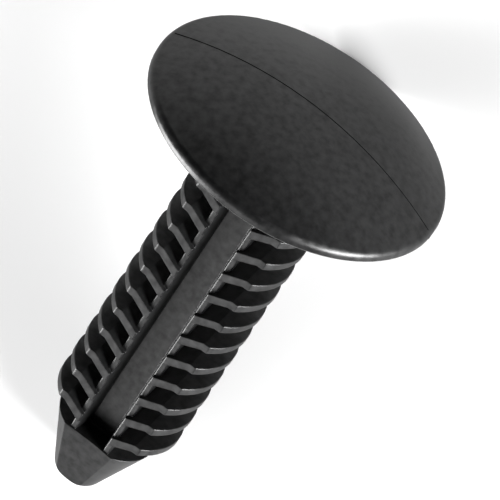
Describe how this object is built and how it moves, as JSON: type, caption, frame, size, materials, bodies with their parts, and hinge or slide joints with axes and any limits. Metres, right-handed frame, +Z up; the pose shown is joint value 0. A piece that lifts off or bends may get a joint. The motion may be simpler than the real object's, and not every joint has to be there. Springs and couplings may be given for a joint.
{
  "type": "bumper retainer clip",
  "caption": "One-piece moulded push-in retainer with a domed round head, swept fins on both sides of a slim core, and a tapered nose, for fixing a bumper cover or trim panel.",
  "frame": {"origin": "bottom centre of the box of the clip as it lies, on the surface it lies on", "axes": "+Z up, +X from the nose towards the head, +Y across the shank in the parting plane; the clip's own axis leans up from +X by its resting tilt, because it lies on the head's edge and the nose's flat shoulder"},
  "size_m": [0.0298, 0.018, 0.0174],
  "materials": {
    "black_nylon": "satin black moulded nylon, fine even grain, faint sheen"
  },
  "bodies": {
    "root": {"retainer_clip": "black_nylon"}
  },
  "joints": []
}
